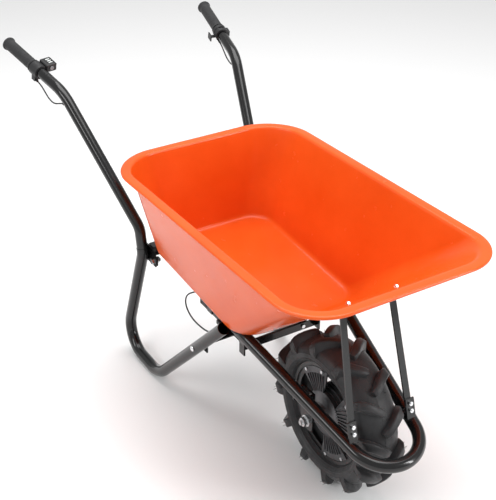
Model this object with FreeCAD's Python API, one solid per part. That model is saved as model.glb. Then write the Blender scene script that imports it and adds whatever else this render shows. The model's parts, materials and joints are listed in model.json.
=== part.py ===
import FreeCAD, Part

import math
import os

from FreeCAD import Vector

# Powered garden wheelbarrow. Millimetres, +X forward, +Y the user's left, +Z up.
# The origin is on the ground, under the middle of the whole object.

# --- driving dimensions ---------------------------------------------------------------
AXLE_X = 481.0
TYRE_R = 207.0
TYRE_HALF_W = 62.0
LUG_HEIGHT = 16.0
LUGS_PER_SIDE = 12
RIM_R = 134.0

HANDLE_D = 31.0
LEG_D = 33.0
RAIL_D = 32.0
TUBE_WALL = 1.8

# handle tube points, on the left side
GRIP_END = Vector(-749.4, 325.245, 824.327)
UPPER_BEND = Vector(-474, 277, 760)
LOWER_BEND = Vector(-192, 198, 446)
HANDLE_FOOT = Vector(-182, 198, 388)
HANDLE_BEND_R = 110.0

# leg points, on the left side
LEG_FOOT_Y = 208.6
LEG_REAR_X = -295.0
LEG_FLAT_X = -85.7
LEG_FRONT_X = 231.0
LEG_FRONT_Y = 180.0
LEG_FRONT_Z = 360.0
LEG_REAR_BEND_R = 75.0
LEG_FLAT_BEND_R = 110.0

# tray
SHEET = 1.5
FLOOR_REAR_X = -168.0
FLOOR_REAR_Z = 399.0
FLOOR_FRONT_X = 310.0
FLOOR_FRONT_Z = 368.0
FLOOR_HALF_W = 183.0
FLOOR_CORNER_R = 70.0
RIM_REAR_X = -218.0
RIM_REAR_Z = 659.0
RIM_FRONT_X = 710.5
RIM_FRONT_Z = 686.5
RIM_HALF_W = 277.5
RIM_REAR_R = 134.0
RIM_FRONT_R = 117.0
RIM_FLANGE = 22.0
ROLL_R = 4.5

# rails and front loop
RAIL_Y = 146.0
RAIL_REAR_X = -151.0
RAIL_KNEE_X = 286.0
RAIL_DROP = RAIL_D / 2 + SHEET
LOOP_FRONT_X = 737.0
LOOP_SLOPE = 0.2746
LOOP_R = 89.0
LOOP_JOINT_X = 447.0

# axle and hub
AXLE_D = 15.0
AXLE_END_D = 12.0
RUNNING_FIT = 0.04
DROPOUT_Y = 88.0
DROPOUT_T = 5.0
HUB_LOBES = 4
LOBE_PHASE = 26.0
LOBE_SPAN = 54.0
LOBE_BOLT = 17.5
LOBE_BOLT_R = 117.5

# battery cradle under the floor
CRADLE_FRONT_X = 207.0
CRADLE_REAR_X = -45.0
CRADLE_HALF_W = 93.0
CRADLE_Z = 247.0
CRADLE_H = 26.0
STRIP = 3.0

# struts
STRUT_Y_LOW = 84.0
STRUT_Y_TOP = 68.5
STRUT_FOOT_X = 646.5
STRUT_KNEE_Z = 576.0
STRUT_W = 17.0
STRUT_T = 5.0

# controls on the handles
GRIP_LEN = 137.4
GRIP_D = 34.0
CAP_D = 40.0
CONTROL_S = 159.4
LEVER_SWING = 35.0

# cables: points of each route, in millimetres
CORD_D = 4.0
HARNESS_D = 4.5
HARNESS = [Vector(-30, -93.5, 300), Vector(-33, -112, 297), Vector(-52, -124, 285),
           Vector(-71, -124, 262), Vector(-76, -123, 235), Vector(-60, -121, 212),
           Vector(-30, -120, 203), Vector(4, -120, 205), Vector(36, -119, 209),
           Vector(62, -114, 219), Vector(79, -107, 234), Vector(86, -104, 250)]
# control cables: along the grip axis, to the user's left of it, above it
RIGHT_CABLE = [Vector(18.5, -12, -24), Vector(36, -13, -25), Vector(58, -14, -33),
               Vector(80, -14, -44), Vector(103, -11, -49), Vector(120, 0, -40.8),
               Vector(133.9, 0, -33)]
LEFT_CABLE = [Vector(20.5, -8, -20), Vector(38, -9, -21), Vector(60, -9, -27),
              Vector(83, -8, -36), Vector(103, -3, -43), Vector(120, 0, -40.8),
              Vector(133.9, 0, -33)]
GROMMET_WAY = Vector(-0.873, 0, -0.488)

SIDES = {"right": -1, "left": 1}
X = Vector(1, 0, 0)
Y = Vector(0, 1, 0)
Z = Vector(0, 0, 1)


# --- helpers --------------------------------------------------------------------------
def save(name, shape):
    """Write one node."""
    os.makedirs("parts", exist_ok=True)
    shape.exportStep("parts/" + name + ".step")


def group(solids):
    """Several separate solids in one node."""
    return Part.makeCompound(solids)


def on_side(point, side):
    """A left-side point moved to the given side."""
    return Vector(point.x, side * point.y, point.z)


def mirrored(shape):
    """The same shape on the other side of the barrow."""
    return shape.mirror(Vector(0, 0, 0), Y)


def rod(start, direction, radius, length):
    """A cylinder from a point, along a direction."""
    return Part.makeCylinder(radius, length, start, direction)


def ring(centre, direction, outer, inner, length):
    """A washer or bush from a point, along a direction."""
    return rod(centre, direction, outer, length).cut(
        rod(centre - direction * 1.0, direction, inner, length + 2.0))


def block(x0, x1, y0, y1, z0, z1):
    """A box between two corners."""
    return Part.makeBox(x1 - x0, y1 - y0, z1 - z0, Vector(x0, y0, z0))


def route(points, radii):
    """Straight runs joined by tangent arcs of the given radii."""
    edges = []
    here = points[0]
    for i in range(1, len(points) - 1):
        corner = points[i]
        back = (points[i - 1] - corner).normalize()
        ahead = (points[i + 1] - corner).normalize()
        half = back.getAngle(ahead) / 2
        trim = radii[i - 1] / math.tan(half)
        bisector = (back + ahead).normalize()
        depth = radii[i - 1] / math.sin(half) - radii[i - 1]
        enter = corner + back * trim
        leave = corner + ahead * trim
        edges.append(Part.LineSegment(here, enter).toShape())
        edges.append(Part.Arc(enter, corner + bisector * depth, leave).toShape())
        here = leave
    edges.append(Part.LineSegment(here, points[-1]).toShape())
    return Part.Wire(edges)


def pipe(path, radius):
    """A round bar along a path."""
    edge = path.Edges[0]
    start = edge.valueAt(edge.FirstParameter)
    tangent = edge.tangentAt(edge.FirstParameter)
    profile = Part.Wire([Part.Circle(start, tangent, radius).toShape()])
    return path.makePipeShell([profile], True, False)


def tube(path, diameter, wall):
    """A round tube along a path."""
    return pipe(path, diameter / 2).cut(pipe(path, diameter / 2 - wall))


def cord_radii(points):
    """The largest arc each corner of a cord's route has room for."""
    radii = []
    for i in range(1, len(points) - 1):
        back = points[i - 1] - points[i]
        ahead = points[i + 1] - points[i]
        turn = math.pi - back.getAngle(ahead)
        radii.append(0.45 * min(back.Length, ahead.Length) / math.tan(turn / 2))
    return radii


def cord(name, points, diameter):
    """A cable along its route; prints its radii, length and volume ratio."""
    radii = cord_radii(points)
    path = route(points, radii)
    solid = pipe(path, diameter / 2)
    section = math.pi * diameter ** 2 / 4
    print(name, "radii", [round(r, 1) for r in radii], "length", round(path.Length, 1),
          "volume ratio", round(solid.Volume / (section * path.Length), 4))
    save(name, solid)
    return path


def frame_at(origin, along, up):
    """A placement whose X runs along a direction and whose Z is near up."""
    ax = Vector(along).normalize()
    ay = Vector(up).cross(ax).normalize()
    az = ax.cross(ay)
    matrix = FreeCAD.Matrix(ax.x, ay.x, az.x, origin.x,
                            ax.y, ay.y, az.y, origin.y,
                            ax.z, ay.z, az.z, origin.z,
                            0, 0, 0, 1)
    return FreeCAD.Placement(matrix)


def placed(shape, placement):
    """A copy of a shape moved into a placement."""
    moved = shape.copy()
    moved.Placement = placement.multiply(moved.Placement)
    return moved


def hexagon(centre, direction, across_flats, length):
    """A hexagonal prism: a bolt head or a nut blank."""
    radius = across_flats / math.sqrt(3)
    side = Vector(direction).normalize()
    first = side.cross(Z if abs(side.z) < 0.9 else X).normalize()
    second = side.cross(first)
    corners = []
    for k in range(7):
        angle = math.radians(60 * k)
        corners.append(centre + first * (radius * math.cos(angle))
                       + second * (radius * math.sin(angle)))
    return Part.Face(Part.makePolygon(corners)).extrude(side * length)


def bolt(seat, direction, diameter, grip_length):
    """A hex bolt with its head on the seat, pointing back, and a nut beyond the grip."""
    side = Vector(direction).normalize()
    head = hexagon(seat - side * (diameter * 0.65), side, diameter * 1.65, diameter * 0.65)
    shank = rod(seat - side * 0.5, side, diameter / 2, grip_length + diameter * 1.1 + 0.5)
    nut = hexagon(seat + side * grip_length, side, diameter * 1.65, diameter * 0.8)
    return head.fuse([shank, nut]).removeSplitter()


def dome_bolt(seat, direction, diameter, grip_length):
    """A round-headed bolt with its head on the seat and a nut beyond the grip."""
    side = Vector(direction).normalize()
    ball = Part.makeSphere(diameter * 1.25, seat + side * (diameter * 0.75))
    keep = rod(seat - side * (diameter * 0.6), side, diameter * 1.2, diameter * 0.6)
    shank = rod(seat - side * 0.2, side, diameter / 2, grip_length + diameter * 1.1 + 0.2)
    nut = hexagon(seat + side * grip_length, side, diameter * 1.65, diameter * 0.8)
    return ball.common(keep).fuse([shank, nut]).removeSplitter()


def weld_stud(seat, direction, diameter, grip_length):
    """A threaded stud with a thin round foot at the seat and a nut beyond the grip."""
    side = Vector(direction).normalize()
    foot = rod(seat, side, diameter, 1.1)
    shank = rod(seat, side, diameter / 2, grip_length + diameter * 1.1)
    nut = hexagon(seat + side * grip_length, side, diameter * 1.65, diameter * 0.8)
    return foot.fuse([shank, nut]).removeSplitter()


def floor_z(x):
    """Height of the tray floor's underside at a place along the barrow."""
    share = (x - FLOOR_REAR_X) / (FLOOR_FRONT_X - FLOOR_REAR_X)
    return FLOOR_REAR_Z + share * (FLOOR_FRONT_Z - FLOOR_REAR_Z)


def rim_z(x):
    """Height of the tray rim at a place along the barrow."""
    share = (x - RIM_REAR_X) / (RIM_FRONT_X - RIM_REAR_X)
    return RIM_REAR_Z + share * (RIM_FRONT_Z - RIM_REAR_Z)


def rounded_outline(rear, front, half_w, rear_r, front_r, height):
    """A closed outline with round corners, in the plane that height(x) gives."""
    def at(x, y):
        return Vector(x, y, height(x))

    def corner(cx, cy, sx, sy, radius):
        s = radius * (1 - math.sqrt(0.5))
        return at(cx + sx * s, cy + sy * s)

    marks = [(rear, half_w, 1, -1, rear_r), (front, half_w, -1, -1, front_r),
             (front, -half_w, -1, 1, front_r), (rear, -half_w, 1, 1, rear_r)]
    ends = []
    for k, (cx, cy, sx, sy, radius) in enumerate(marks):
        along_x = at(cx + sx * radius, cy)
        along_y = at(cx, cy + sy * radius)
        mid = corner(cx, cy, sx, sy, radius)
        if k % 2 == 0:
            ends.append((along_y, mid, along_x))
        else:
            ends.append((along_x, mid, along_y))
    edges = []
    for k in range(4):
        first, mid, last = ends[k]
        edges.append(Part.Arc(first, mid, last).toShape())
        edges.append(Part.LineSegment(last, ends[(k + 1) % 4][0]).toShape())
    return Part.Wire(edges)


# --- tray -----------------------------------------------------------------------------
def tray():
    """Pressed steel tub with a flat rim and a rolled lip."""
    inset = RIM_FLANGE

    def top(x):
        return rim_z(x)

    def outer_floor(x):
        return floor_z(x)

    def inner_floor(x):
        return floor_z(x) + SHEET

    def skin(grow, floor_height, rise):
        low = rounded_outline(FLOOR_REAR_X - grow, FLOOR_FRONT_X + grow, FLOOR_HALF_W + grow,
                              FLOOR_CORNER_R + grow, FLOOR_CORNER_R + grow, floor_height)
        high = rounded_outline(RIM_REAR_X + inset - grow, RIM_FRONT_X - inset + grow,
                               RIM_HALF_W - inset + grow, RIM_REAR_R - inset + grow,
                               RIM_FRONT_R - inset + grow, lambda x: top(x) + rise)
        return Part.makeLoft([low, high], True, True)

    body = skin(0.0, outer_floor, 0.0)
    hollow = skin(-SHEET, inner_floor, 0.01)
    shell = body.cut(hollow)
    outline = rounded_outline(RIM_REAR_X, RIM_FRONT_X, RIM_HALF_W, RIM_REAR_R, RIM_FRONT_R, top)
    mouth = rounded_outline(RIM_REAR_X + inset + SHEET, RIM_FRONT_X - inset - SHEET,
                            RIM_HALF_W - inset - SHEET, RIM_REAR_R - inset - SHEET,
                            RIM_FRONT_R - inset - SHEET, lambda x: top(x) - 0.2)
    flange = Part.Face(outline).extrude(Vector(0, 0, SHEET))
    flange = flange.cut(Part.Face(mouth).extrude(Vector(0, 0, 2 * SHEET)))
    roll_line = rounded_outline(RIM_REAR_X + 1, RIM_FRONT_X - 1, RIM_HALF_W - 1,
                                RIM_REAR_R - 1, RIM_FRONT_R - 1,
                                lambda x: top(x) - ROLL_R + SHEET)
    roll = pipe(roll_line, ROLL_R)
    return shell.fuse([flange, roll]).removeSplitter()


# --- frame ----------------------------------------------------------------------------
def loop_z(x):
    """Height of the front loop's centre line."""
    knee_z = floor_z(RAIL_KNEE_X) - RAIL_DROP
    return knee_z - LOOP_SLOPE * (x - RAIL_KNEE_X)


def loop_tangent_x():
    """Where the straight sides of the loop meet its round nose."""
    return LOOP_FRONT_X - 0.82 * LOOP_R


def rail_y(x):
    """Distance of a rail's centre line from the middle, ahead of the knee."""
    share = (x - RAIL_KNEE_X) / (loop_tangent_x() - RAIL_KNEE_X)
    return RAIL_Y + share * (LOOP_R - RAIL_Y)


def handle_tube(side):
    points = [GRIP_END, UPPER_BEND, LOWER_BEND, HANDLE_FOOT]
    points[0] = GRIP_END + (UPPER_BEND - GRIP_END).normalize() * 6.0
    path = route([on_side(p, side) for p in points], [HANDLE_BEND_R, 55.0])
    return tube(path, HANDLE_D, TUBE_WALL)


def leg_tube(side):
    """Bent leg whose top is a spigot inside the handle tube."""
    down = (HANDLE_FOOT - LOWER_BEND).normalize()
    neck = HANDLE_FOOT + down * 6.0
    ground = LEG_D / 2
    points = [HANDLE_FOOT + down * 0.3, neck + down * 12.0,
              Vector(LEG_REAR_X, LEG_FOOT_Y, ground), Vector(LEG_FLAT_X, LEG_FOOT_Y, ground),
              Vector(LEG_FRONT_X, LEG_FRONT_Y, LEG_FRONT_Z)]
    path = route([on_side(p, side) for p in points],
                 [40.0, LEG_REAR_BEND_R, LEG_FLAT_BEND_R])
    body = tube(path, LEG_D, TUBE_WALL)
    spigot_r = HANDLE_D / 2 - TUBE_WALL - 0.2
    foot = on_side(HANDLE_FOOT, side)
    axis = on_side(down, side)
    spigot = ring(foot - axis * 34.0, axis, spigot_r, spigot_r - TUBE_WALL, 36.0)
    shoulder = ring(foot + axis * 0.3, axis, LEG_D / 2 - 0.4, spigot_r - TUBE_WALL, 3.0)
    return body.fuse([spigot, shoulder]).removeSplitter()


def rail(side):
    """Straight rail under the floor that turns down and in towards the wheel."""
    stop = LOOP_JOINT_X
    knee = Vector(RAIL_KNEE_X, side * RAIL_Y, loop_z(RAIL_KNEE_X))
    tail = Vector(RAIL_REAR_X, side * RAIL_Y, floor_z(RAIL_REAR_X) - RAIL_DROP)
    nose = Vector(stop, side * rail_y(stop), loop_z(stop))
    return tube(route([tail, knee, nose], [160.0]), RAIL_D, TUBE_WALL)


def front_loop():
    """U-shaped tube round the front of the wheel, plugged into both rails."""
    gap = 0.6
    start_x = LOOP_JOINT_X
    turn_x = loop_tangent_x()
    slope = Vector(1, 0, -LOOP_SLOPE).normalize()

    def side_point(x, side):
        return Vector(x, side * rail_y(x), loop_z(x))

    right = side_point(start_x + gap, -1)
    left = side_point(start_x + gap, 1)
    apex = Vector(LOOP_FRONT_X, 0, loop_z(LOOP_FRONT_X))
    turn_right = side_point(turn_x, -1)
    turn_left = side_point(turn_x, 1)
    inward = (turn_right - right).normalize()
    lean = math.atan2(inward.y, inward.dot(slope))
    # the nose arc is tangent to both sides, so its centre sits a little behind the turn
    centre_x = turn_x - LOOP_R * math.tan(lean)
    centre = Vector(turn_x, 0, loop_z(turn_x)) - slope * (turn_x - centre_x)
    radius = (turn_right - centre).Length
    nose = centre + slope * radius
    path = Part.Wire([Part.LineSegment(right, turn_right).toShape(),
                      Part.Arc(turn_right, nose, turn_left).toShape(),
                      Part.LineSegment(turn_left, left).toShape()])
    body = tube(path, RAIL_D, TUBE_WALL)
    spigots = []
    for side in (-1, 1):
        end = side_point(start_x + gap, side)
        back = (end - side_point(turn_x, side)).normalize()
        inner = RAIL_D / 2 - TUBE_WALL - 0.2
        spigots.append(ring(end - back * 2.0, back, inner, inner - TUBE_WALL, 42.0))
        spigots.append(ring(end - back * 3.0, back, RAIL_D / 2 - 0.5, inner - TUBE_WALL, 3.0))
    return body.fuse(spigots).removeSplitter()


def rear_crossbar():
    """Square tube between the legs that carries the back of the floor."""
    top = floor_z(-152) - 0.4
    outer = block(-180, -152, -178, 178, top - 28, top)
    bar = outer.cut(block(-178, -154, -179, 179, top - 26, top - 2))
    ear = block(-164, -138, 172, 177.8, top - 54, top - 27.9)
    return bar.fuse([ear, mirrored(ear)]).removeSplitter()


def leg_bracket(side):
    """Plate on the inner side of the leg's top, bolted to the crossbar's end."""
    top = floor_z(-166) - 3.0
    plate = block(-199, -136, 178.2, 181.2, top - 54, top - 2)
    return plate if side > 0 else mirrored(plate)


def front_crossbar():
    """Strip across the front of the battery cradle, with an ear up to each rail."""
    x0 = CRADLE_FRONT_X + 0.4
    low = CRADLE_Z + 3.0
    inner = RAIL_Y - RAIL_D / 2 - 0.2
    bar = block(x0, x0 + STRIP, -116, 116, low, low + 22)
    profile = Part.makePolygon([
        Vector(x0, 115, low), Vector(x0, 119, low), Vector(x0, 119, low + 30),
        Vector(x0, inner, low + 84), Vector(x0, inner, low + 104),
        Vector(x0, inner - 4, low + 104), Vector(x0, inner - 4, low + 85),
        Vector(x0, 115, low + 31), Vector(x0, 115, low)])
    ear = Part.Face(profile).extrude(Vector(24, 0, 0))
    return bar.fuse([ear, mirrored(ear)]).removeSplitter()


def loop_side(grow):
    """Solid around the left side of the rail and loop, for trimming."""
    start = Vector(RAIL_KNEE_X + 60, rail_y(RAIL_KNEE_X + 60), loop_z(RAIL_KNEE_X + 60))
    end = Vector(loop_tangent_x(), LOOP_R, loop_z(loop_tangent_x()))
    return pipe(Part.Wire([Part.LineSegment(start, end).toShape()]), RAIL_D / 2 + grow)


def dropout(side):
    """Plate that hangs from the rail and carries one end of the axle."""
    x0 = AXLE_X - 24
    x1 = AXLE_X + 24
    top = loop_z(AXLE_X)
    low = TYRE_R - 24
    plate = block(x0, x1, DROPOUT_Y, DROPOUT_Y + DROPOUT_T, low, top + 4)
    plate = plate.makeFillet(14, [e for e in plate.Edges
                                  if e.BoundBox.ZMax < low + 1 and e.Length < DROPOUT_T + 1])
    for x in (x0, x1 - DROPOUT_T):
        reach = rail_y(x)
        plate = plate.fuse(block(x, x + DROPOUT_T, DROPOUT_Y + 1, reach, top - 30, top + 4))
    plate = plate.cut(loop_side(0.02))
    plate = plate.cut(rod(Vector(AXLE_X, DROPOUT_Y - 5, TYRE_R), Y, AXLE_END_D / 2 + 0.3, 20))
    solids = sorted(plate.removeSplitter().Solids, key=lambda solid: solid.Volume)
    return solids[-1] if side > 0 else mirrored(solids[-1])


# --- struts ---------------------------------------------------------------------------
def front_wall_x(z):
    """Outer face of the front wall at a height, on the middle line."""
    low_z = floor_z(FLOOR_FRONT_X)
    high_z = rim_z(RIM_FRONT_X - RIM_FLANGE)
    share = (z - low_z) / (high_z - low_z)
    return FLOOR_FRONT_X + share * (RIM_FRONT_X - RIM_FLANGE - FLOOR_FRONT_X)


def strut_points():
    """Foot, knee and top of a strut's centre line, in the XZ plane."""
    foot = Vector(STRUT_FOOT_X + 1.0, 0, loop_z(STRUT_FOOT_X) + RAIL_D / 2 + 4)
    wall_dir = Vector(front_wall_x(600) - front_wall_x(500), 0, 100).normalize()
    out = Vector(wall_dir.z, 0, -wall_dir.x)
    knee = Vector(front_wall_x(STRUT_KNEE_Z), 0, STRUT_KNEE_Z) + out * (STRUT_T / 2 + 0.4)
    top = knee + wall_dir * 46.0
    return foot, knee, top, wall_dir, out


def strut(side):
    """Flat bar from the loop to the tray's front wall, bent flat against the wall."""
    foot, knee, top, wall_dir, out = strut_points()
    lean = (knee - foot).normalize()
    normal = Vector(lean.z, 0, -lean.x)
    half = STRUT_T / 2
    face_pts = [foot - normal * half, knee - out * half, top - out * half,
                top + out * half, knee + normal * half * 1.1, foot + normal * half]
    face = Part.Face(Part.makePolygon(face_pts + [face_pts[0]]))
    bar = face.extrude(Vector(0, STRUT_W, 0))
    bar.translate(Vector(0, STRUT_Y_LOW - STRUT_W / 2, 0))
    tilt = math.degrees(math.atan2(STRUT_Y_LOW - STRUT_Y_TOP, knee.z - foot.z))
    bar.rotate(Vector(foot.x, STRUT_Y_LOW, foot.z), X, tilt)
    return bar if side > 0 else mirrored(bar)


def strut_tab(side):
    """Small plate on top of the loop that takes the strut's foot."""
    foot, knee, top, wall_dir, out = strut_points()
    lean = (knee - foot).normalize()
    normal = Vector(lean.z, 0, -lean.x)
    base = foot + normal * (STRUT_T + 0.2)
    frame = frame_at(Vector(base.x, STRUT_Y_LOW, base.z), lean, normal)
    tab = placed(Part.makeBox(56, 24, 4.5, Vector(-14, -12, -2.25)), frame)
    tab = tab.cut(loop_side(0.02))
    return tab if side > 0 else mirrored(tab)


# --- bolted joints --------------------------------------------------------------------
def both_sides(joints):
    """The same joints on both sides of the barrow."""
    return joints + [(on_side(seat, -1), on_side(way, -1), d, grip)
                     for seat, way, d, grip in joints]


def strut_joints():
    """Seat, direction, diameter and grip of the bolts at both ends of a strut."""
    foot, knee, top, wall_dir, out = strut_points()
    lean = (knee - foot).normalize()
    normal = Vector(lean.z, 0, -lean.x)
    joints = []
    for along in (12.0, 30.0):
        seat = foot + lean * along - normal * (STRUT_T / 2 + 0.1)
        joints.append((Vector(seat.x, STRUT_Y_LOW - 0.5, seat.z), normal, 6.0, STRUT_T + 5.4))
    head = top - wall_dir * 18.0 + out * (STRUT_T / 2 + 0.4)
    joints.append((Vector(head.x, STRUT_Y_TOP - 1.5, head.z), -out, 6.0,
                   STRUT_T + SHEET + 2.4))
    return both_sides(joints)


def tray_joints():
    """Studs welded under the tray floor that go down through the rails."""
    fall = (FLOOR_FRONT_Z - FLOOR_REAR_Z) / (FLOOR_FRONT_X - FLOOR_REAR_X)
    down = Vector(fall, 0, -1).normalize()
    joints = []
    for x in (-95.0, 195.0):
        seat = Vector(x, RAIL_Y, floor_z(x)) + down * 0.2
        joints.append((seat, down, 8.0, RAIL_DROP + RAIL_D / 2 + 1.0))
    return both_sides(joints)


def frame_joints():
    """Bolts from the leg brackets to the rear crossbar, and from the strip to the cradle."""
    bracket = Vector(-149, 181.3, floor_z(-166) - 42.4)
    strip = Vector(CRADLE_FRONT_X + STRIP + 0.6, 78, CRADLE_Z + 15)
    return both_sides([(bracket, -Y, 10.0, 9.6), (strip, -X, 6.0, 2 * STRIP + 1.0)])


def leg_joints():
    """Bolts through the legs into the lower crossbar's tabs."""
    x = 114.0
    share = (x - LEG_FLAT_X) / (LEG_FRONT_X - LEG_FLAT_X)
    y = LEG_FOOT_Y + share * (LEG_FRONT_Y - LEG_FOOT_Y)
    z = LEG_D / 2 + share * (LEG_FRONT_Z - LEG_D / 2)
    seat = Vector(x, y + LEG_D / 2 + 0.8, z)
    return both_sides([(seat, -Y, 8.0, LEG_D + 6.6)])


def case_joints():
    """Screws up through the cradle into the battery case."""
    joints = []
    for x in (8.0, 92.0):
        for y in (-60.0, 60.0):
            joints.append((Vector(x, y, CRADLE_Z - 0.1), Z, 6.0, 0.0))
    return joints


def fasteners(joints, maker):
    """One bolt and nut per joint."""
    return group([maker(seat, way, d, grip) for seat, way, d, grip in joints])


def case_screws():
    """Short hex screws without nuts."""
    solids = []
    for seat, way, d, grip in case_joints():
        head = hexagon(seat - way * 4.0, way, 10.0, 4.0)
        solids.append(head.fuse(rod(seat - way * 0.5, way, d / 2, 5.4)).removeSplitter())
    return group(solids)


def drilled(shape, joints):
    """A shape with a clearance hole for each bolt."""
    holes = []
    for seat, way, d, grip in joints:
        side = Vector(way).normalize()
        holes.append(rod(seat - side * 3.0, side, d / 2 + 0.25, grip + 14.0))
    return shape.cut(holes)


# --- wheel ----------------------------------------------------------------------------
def spun(points):
    """A solid of revolution about the axle from (y, r) points."""
    loop = [Vector(AXLE_X, y, TYRE_R + r) for y, r in points]
    face = Part.Face(Part.makePolygon(loop + [loop[0]]))
    return face.revolve(Vector(AXLE_X, 0, TYRE_R), Y, 360)


def spun_ring(y0, y1, r0, r1):
    """A plain ring about the axle."""
    return spun([(y0, r0), (y1, r0), (y1, r1), (y0, r1)])


def turned(shape, degrees):
    """A copy turned about the axle."""
    copy = shape.copy()
    copy.rotate(Vector(AXLE_X, 0, TYRE_R), Y, degrees)
    return copy


def spun_profile(edges):
    """A solid of revolution about the axle from the edges of a closed profile."""
    face = Part.Face(Part.Wire(edges))
    return face.revolve(Vector(AXLE_X, 0, TYRE_R), Y, 360)


def air_space(inset):
    """The space inside the tyre, made smaller by an inset."""
    crown = TYRE_R - LUG_HEIGHT - 9 - inset
    side_y = TYRE_HALF_W - 13 - inset
    foot_y = 30 - inset
    foot_r = RIM_R + 1 + inset
    low = RIM_R - 7 + inset * 0.8

    def at(y, r):
        return Vector(AXLE_X, y, TYRE_R + r)

    return spun_profile([
        Part.LineSegment(at(-foot_y, low), at(foot_y, low)).toShape(),
        Part.LineSegment(at(foot_y, low), at(foot_y, foot_r)).toShape(),
        Part.Arc(at(foot_y, foot_r), at(side_y, 151), at(side_y - 10, crown - 11)).toShape(),
        Part.Arc(at(side_y - 10, crown - 11), at(0, crown),
                 at(10 - side_y, crown - 11)).toShape(),
        Part.Arc(at(10 - side_y, crown - 11), at(-side_y, 151),
                 at(-foot_y, foot_r)).toShape(),
        Part.LineSegment(at(-foot_y, foot_r), at(-foot_y, low)).toShape()])


def tyre():
    """Round-shouldered carcass with long chevron lugs on alternate sides."""
    crown = TYRE_R - LUG_HEIGHT
    low = RIM_R - 6.5
    foot_y = 37.2
    side_y = TYRE_HALF_W - 5.0

    def at(y, r):
        return Vector(AXLE_X, y, TYRE_R + r)

    body = spun_profile([
        Part.LineSegment(at(-foot_y, low), at(foot_y, low)).toShape(),
        Part.LineSegment(at(foot_y, low), at(foot_y, RIM_R + 0.5)).toShape(),
        Part.Arc(at(foot_y, RIM_R + 0.5), at(side_y, 152), at(side_y - 13, crown - 10)).toShape(),
        Part.Arc(at(side_y - 13, crown - 10), at(0, crown),
                 at(13 - side_y, crown - 10)).toShape(),
        Part.Arc(at(13 - side_y, crown - 10), at(-side_y, 152),
                 at(-foot_y, RIM_R + 0.5)).toShape(),
        Part.LineSegment(at(-foot_y, RIM_R + 0.5), at(-foot_y, low)).toShape()])
    shell = spun_ring(-TYRE_HALF_W, TYRE_HALF_W, crown - 34, TYRE_R)
    pitch = 360.0 / LUGS_PER_SIDE
    lugs = []
    for side in (-1, 1):
        foot = [(-3, 9), (9, 7), (30, -24), (46, -TYRE_HALF_W), (26, -TYRE_HALF_W),
                (14, -26), (-3, -4)]
        points = [Vector(AXLE_X + px, side * -py, TYRE_R + crown - 40) for px, py in foot]
        outline = Part.Face(Part.makePolygon(points + [points[0]]))
        lug = outline.extrude(Vector(0, 0, 70)).common(shell)
        phase = 0.0 if side < 0 else pitch / 2
        for k in range(LUGS_PER_SIDE):
            lugs.append(turned(lug, phase + k * pitch))
    return body.fuse(lugs).cut(air_space(0.0)).removeSplitter()


def rim():
    """Steel rim with bead seats, a centre well and an inner ring for the covers."""
    shape = spun([(40, RIM_R), (37.6, RIM_R), (37.6, 127.0), (21, 126.0), (13, 112.0),
                  (-13, 112.0), (-21, 126.0), (-37.6, 127.0), (-37.6, RIM_R), (-40, RIM_R),
                  (-40, 124.6), (-36.2, 124.6), (-36.2, 112.0), (-33.8, 112.0), (-33.8, 124.0),
                  (-22.6, 123.6), (-14.5, 109.6), (14.5, 109.6), (22.6, 123.6),
                  (33.8, 124.0), (33.8, 112.0), (36.2, 112.0), (36.2, 124.6), (40, 124.6)])
    valve = turned(rod(Vector(AXLE_X, 0, TYRE_R + 100), Z, 4.2, 20), 70)
    return drilled(shape.cut(valve), cover_joints())


def lobe_angles():
    """Directions of the cover lobes, from +X towards +Z."""
    return [LOBE_PHASE + k * 360.0 / HUB_LOBES for k in range(HUB_LOBES)]


def polar(angle, radius, y):
    """A point about the axle."""
    a = math.radians(angle)
    return Vector(AXLE_X + radius * math.cos(a), y, TYRE_R + radius * math.sin(a))


def hub_cover(side):
    """Cast motor cover with fan-shaped ribbed lobes that reach the rim."""
    face_y = 40.2
    back_y = 36.5
    boss = spun([(30.5, 17.2), (46, 17.2), (58, 17.2), (58, 24), (50, 34), (46, 52),
                 (42, 62), (30.5, 62)])
    solids = [boss]
    ribs = []
    for centre in lobe_angles():
        half = LOBE_SPAN / 2
        a0 = centre - half
        a1 = centre + half
        corners = [polar(a0 + 8, 55, 0), polar(a0, 123.0, 0), polar(centre, 123.0, 0),
                   polar(a1, 123.0, 0), polar(a1 - 8, 55, 0)]
        edges = [Part.LineSegment(corners[0], corners[1]).toShape(),
                 Part.Arc(corners[1], corners[2], corners[3]).toShape(),
                 Part.LineSegment(corners[3], corners[4]).toShape(),
                 Part.Arc(corners[4], polar(centre, 55, 0), corners[0]).toShape()]
        plate = Part.Face(Part.Wire(edges)).extrude(Vector(0, face_y - back_y, 0))
        plate.translate(Vector(0, back_y, 0))
        solids.append(plate)
        for k in range(7):
            angle = centre + (k - 3) * 6.2
            rib_frame = frame_at(polar(angle, 56, face_y - 0.5), polar(angle, 80, 0)
                                 - polar(angle, 56, 0), Y)
            rib = placed(Part.makeBox(50, 2.4, 4.0, Vector(0, -1.2, 0)), rib_frame)
            ribs.append(rib)
    shape = solids[0].fuse(solids[1:] + ribs)
    shape = drilled(shape, cover_joints()).removeSplitter()
    return shape if side > 0 else mirrored(shape)


def cover_joints():
    """Bolts that hold the cover lobes to the rim's inner rings."""
    joints = []
    for centre in lobe_angles():
        for offset in (-LOBE_BOLT, LOBE_BOLT):
            joints.append((polar(centre + offset, LOBE_BOLT_R, 40.4), -Y, 5.0, 7.0))
    return both_sides(joints)


def motor_shell():
    """Drum of the hub motor between the two covers."""
    drum = spun_ring(-30, 30, 57.0, 64.5)
    fins = []
    for k in range(-2, 3):
        fins.append(spun_ring(k * 10 - 1.5, k * 10 + 1.5, 64.4, 69.0))
    return drum.fuse(fins).removeSplitter()


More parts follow.
